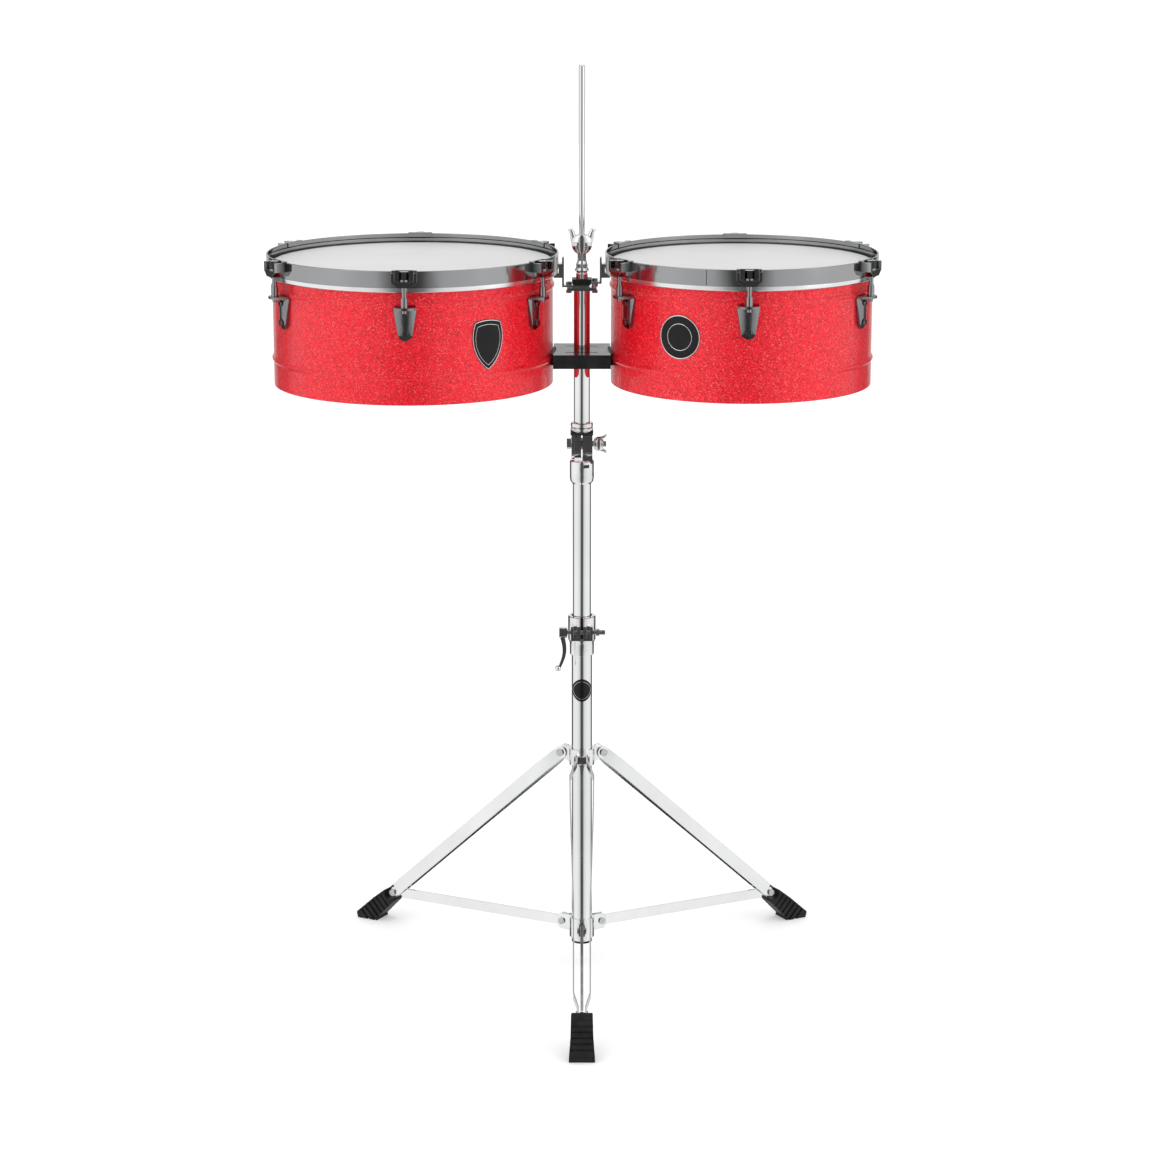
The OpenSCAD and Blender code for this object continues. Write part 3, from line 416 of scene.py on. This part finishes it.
def add_wing(build, path, sides=16):
    """A wing swept along path, a run of (x, z, half width, half thickness)."""
    turns = [2 * math.pi * k / sides for k in range(sides)]
    rings = []
    for k, (x, z, width, thick) in enumerate(path):
        before, after = path[max(k - 1, 0)], path[min(k + 1, len(path) - 1)]
        along = Vector((after[0] - before[0], 0, after[1] - before[1])).normalized()
        side = Vector((along.z, 0, -along.x))
        rings.append([build.verts.new(Vector((x, 0, z)) + width * math.cos(a) * side
                                      + Vector((0, thick * math.sin(a), 0))) for a in turns])
    join_rings(build, rings, closed=False)
    build.faces.new(rings[0])
    build.faces.new(rings[-1][::-1])


# Bowl and wing of the wing nuts in mm at the size of the bell rod's nut: 19 mm to a tip, 35 mm tall
BOWL = [
    (6.6, 0.0), (9.4, 1.8), (12.2, 5.6), (13.8, 10.6), (14.0, 16.0), (12.4, 21.0), (9.6, 24.4), (7.2, 25.4),
]
WING = [
    (8.0, 13.0, 5.0, 3.4), (10.8, 19.0, 4.6, 3.2), (12.2, 24.6, 3.8, 3.0), (13.4, 29.0, 3.4, 2.8),
    (15.0, 31.4, 3.1, 2.6), (16.4, 31.0, 2.6, 2.2), (17.0, 29.6, 1.9, 1.7),
]


def wing_casting(name, node, along, wide, tall, bore, body):
    """Rounded wing nut in place of a plain one; along is the nut's axis, wide and tall scale it."""
    build = bmesh.new()
    add_bowl(build, bore, [(max(r * wide, bore + NUT_WALL), z * tall) for r, z in BOWL])
    for side in (-1, 1):
        add_wing(build, [(side * x * wide, z * tall, w * min(wide, tall) * WING_SPARE, t * WING_SPARE)
                         for x, z, w, t in WING])
    foot = middle(node)
    low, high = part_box(node)
    turn = Matrix.Identity(3)
    if along == "X":
        foot.x = low.x
        turn = Matrix.Rotation(math.pi / 2, 3, "Y")
    else:
        foot.z = low.z
    for v in build.verts:
        v.co = foot + turn @ (v.co * MM)
    piece = new_piece(name, build, "chrome_cast", body)
    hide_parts(node)
    skin = piece.modifiers.new("skin", "REMESH")
    skin.mode = "VOXEL"
    skin.voxel_size = 0.55 * MM
    skin.use_smooth_shade = True
    polish = piece.modifiers.new("polish", "SMOOTH")
    polish.factor = 0.5
    polish.iterations = 3


HOOP_SHEET = 2.4 * MM
STEP_DEEP = 1.3 * MM
STEP_EDGE = (0.4 * MM, 0.5 * MM)
GROOVE_DEEP = 0.45 * MM
GROOVE_TALL = 0.9 * MM
WALL_GAP = 0.05 * MM
HEAD_GAP = 0.2 * MM
HOOP_STEPS = 180


def hoop_step(side, axis):
    """The step inside a hoop, just above the head, with a black ring in a shallow recess where it meets the
    band: painted shadow standing for the dark gap there.
    """
    low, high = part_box(f"{side}_hoop")
    wall = (high.x - low.x) / 2 - HOOP_SHEET
    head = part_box(f"{side}_head")[1].z
    foot = head + HEAD_GAP
    top = (head + high.z) / 2
    sections = {
        "step": ("hoop_nickel", [
            (wall - WALL_GAP, foot), (wall - WALL_GAP, top), (wall - STEP_DEEP + STEP_EDGE[0], top),
            (wall - STEP_DEEP, top - STEP_EDGE[1]), (wall - STEP_DEEP, foot),
        ]),
        # Black ring in the recess above the step: painted shadow for the gap between step and band, not a
        # colour the hoop has
        "groove": ("badge_black", [
            (wall - WALL_GAP, top), (wall - WALL_GAP, top + GROOVE_TALL),
            (wall - GROOVE_DEEP, top + GROOVE_TALL), (wall - GROOVE_DEEP, top),
        ]),
    }
    turns = [2 * math.pi * k / HOOP_STEPS for k in range(HOOP_STEPS)]
    for part, (slot, section) in sections.items():
        build = bmesh.new()
        rings = [[build.verts.new((axis.x + r * math.cos(a), axis.y + r * math.sin(a), z))
                  for r, z in section] for a in turns]
        join_rings(build, rings, closed=True)
        piece = new_piece(f"{side}_hoop_{part}", build, slot, "drums")
        normals = piece.modifiers.new("normals", "WEIGHTED_NORMAL")
        normals.keep_sharp = True


def hoop_seam(name, node, axis, turn_degrees):
    """The ground-down weld on the outside of a hoop, turned to the left from the hoop's front."""
    low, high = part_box(node)
    radius = (high.x - low.x) / 2
    turn = math.radians(-90 - turn_degrees)
    out = Vector((math.cos(turn), math.sin(turn), 0))
    side = Vector((-out.y, out.x, 0))
    sunk, thick, wide, end, taper = (size * MM for size in (0.05, 0.15, 0.45, 1.2, 0.8))
    turns = [math.pi * k / 6 for k in range(12)]
    build = bmesh.new()
    rings = []
    for z, half in ((low.z + end, thick), (low.z + end + taper, wide),
                    (high.z - end - taper, wide), (high.z - end, thick)):
        centre = axis + (radius - sunk) * out + Vector((0, 0, z))
        rings.append([build.verts.new(centre + half * math.cos(a) * side + thick * math.sin(a) * out)
                      for a in turns])
    join_rings(build, rings, closed=False)
    build.faces.new(rings[0])
    build.faces.new(rings[-1][::-1])
    new_piece(name, build, "badge_black", "drums")


LEFT_AXIS = Vector((middle("left_shell").x, middle("left_shell").y, 0))
RIGHT_AXIS = Vector((middle("right_shell").x, middle("right_shell").y, 0))
badge_trim("left_badge_trim", "left_badge", LEFT_AXIS, [(0.965, 0.6), (0.80, 0.35)], "drums")
badge_trim("right_badge_trim", "right_badge", RIGHT_AXIS, [(0.97, 0.7), (0.60, 0.45)], "drums")
badge_trim("tube_badge_trim", "tube_badge", MAST, [(0.78, 0.25)], "base_tube")
hoop_step("left", LEFT_AXIS)
hoop_step("right", RIGHT_AXIS)
hoop_seam("right_hoop_seam", "right_hoop", RIGHT_AXIS, 17.3)
wing_casting("bell_nut_casting", "bell_wing_nut", "Z", 1.0, 1.0, 5.3, "bell_nut")
wing_casting("tilter_nut_casting", "tilter_wing_nut", "X", 0.74, 0.52, 4.15, "tilter_nut")


# ---------------------------------------------------------------- floor, light and camera

FLOOR_RADIUS = 12.0
# Level of the room in the metal's reflections, by the angle in degrees from the front
CARD_STOPS = [
    (0, 0.05), (10, 0.12), (26, 0.80), (60, 1.0), (112, 0.95), (124, 0.10), (146, 0.05), (157, 0.70),
    (180, 0.88),
]


def stage_floor():
    """A pale round floor, lit a little from below like a light table."""
    mesh = bpy.data.meshes.new("studio_floor")
    build = bmesh.new()
    bmesh.ops.create_circle(build, cap_ends=True, segments=96, radius=FLOOR_RADIUS)
    build.to_mesh(mesh)
    build.free()
    floor = bpy.data.objects.new("studio_floor", mesh)
    floor.location = MAST + Vector((0, 0, -0.0002))
    floor.visible_glossy = False
    bpy.context.scene.collection.objects.link(floor)
    paint = Paint("studio_floor", Roughness=0.85, Specular_IOR_Level=0.2, Emission_Strength=0.22)
    paint.shader.inputs["Emission Color"].default_value = (1.0, 1.0, 1.0, 1.0)
    soft = paint.noise(1.5, 2.0)
    paint.link(paint.ramp(soft, [(0.3, (0.90, 0.90, 0.90)), (0.7, (0.93, 0.93, 0.93))]),
               paint.shader.inputs["Base Color"])
    mesh.materials.append(paint.material)


def softbox(name, place, size, power, target):
    """A soft rectangular lamp of a power in watts, aimed at target."""
    data = bpy.data.lights.new(name, "AREA")
    data.shape = "RECTANGLE"
    data.size, data.size_y = size
    data.energy = power
    lamp = bpy.data.objects.new(name, data)
    lamp.location = place
    lamp.rotation_euler = (Vector(target) - Vector(place)).to_track_quat("-Z", "Y").to_euler()
    bpy.context.scene.collection.objects.link(lamp)


def studio_world():
    """A white room with black cards standing in front of the object and behind it to both sides.

    Only the polished metal shows the cards, as the dark lines down its tubes.
    """
    world = bpy.data.worlds.new("studio")
    world.use_nodes = True
    bpy.context.scene.world = world
    room = Graph(world.node_tree)
    direction = room.node("ShaderNodeTexCoord").outputs["Generated"]
    parts = room.node("ShaderNodeSeparateXYZ", {0: direction})
    sideways = room.node("ShaderNodeMath", {0: parts.outputs["X"]}, operation="ABSOLUTE")
    towards = room.node("ShaderNodeMath", {0: parts.outputs["Y"], 1: -1.0}, operation="MULTIPLY")
    angle = room.node("ShaderNodeMath", {0: sideways.outputs[0], 1: towards.outputs[0]}, operation="ARCTAN2")
    share = room.node("ShaderNodeMath", {0: angle.outputs[0], 1: math.pi}, operation="DIVIDE")
    cards = room.ramp(share.outputs[0], [(at / 180, (level, level, level)) for at, level in CARD_STOPS])

    plain = room.tree.nodes["Background"]
    plain.inputs["Color"].default_value = (1.0, 1.0, 1.0, 1.0)
    mirrored = room.node("ShaderNodeBackground", {"Color": cards})
    path = room.node("ShaderNodeLightPath")
    mixed = room.node("ShaderNodeMixShader", {
        0: path.outputs["Is Glossy Ray"], 1: plain.outputs[0], 2: mirrored.outputs[0],
    })
    room.link(mixed.outputs[0], room.tree.nodes["World Output"].inputs["Surface"])


def photo_camera():
    """Stands 4 m in front of the mast and 1.5 m up, looking a little down."""
    aside, away, high, pitch, focal_px = -0.0015, 3.985, 1.529, 11.94, 2988
    data = bpy.data.cameras.new("camera")
    data.sensor_width = 36.0
    data.lens = focal_px / IMAGE_PX * data.sensor_width
    data.shift_x = -0.005
    data.shift_y = -0.08
    data.clip_end = 200.0
    camera = bpy.data.objects.new("camera", data)
    camera.location = MAST + Vector((aside, -away, high))
    camera.rotation_euler = (math.radians(90 - pitch), 0, 0)
    bpy.context.scene.collection.objects.link(camera)
    bpy.context.scene.camera = camera


stage_floor()
studio_world()
softbox("key", (-2.4, -2.2, 2.6), (1.6, 2.2), 7.0, (0, 0, 0.8))
softbox("fill", (2.8, -1.4, 1.8), (1.4, 2.4), 5.0, (0, 0, 0.8))
softbox("top", (0, 0.6, 3.4), (2.4, 1.6), 4.0, (0, 0, 0.9))
photo_camera()
bpy.context.scene.view_settings.view_transform = "Standard"
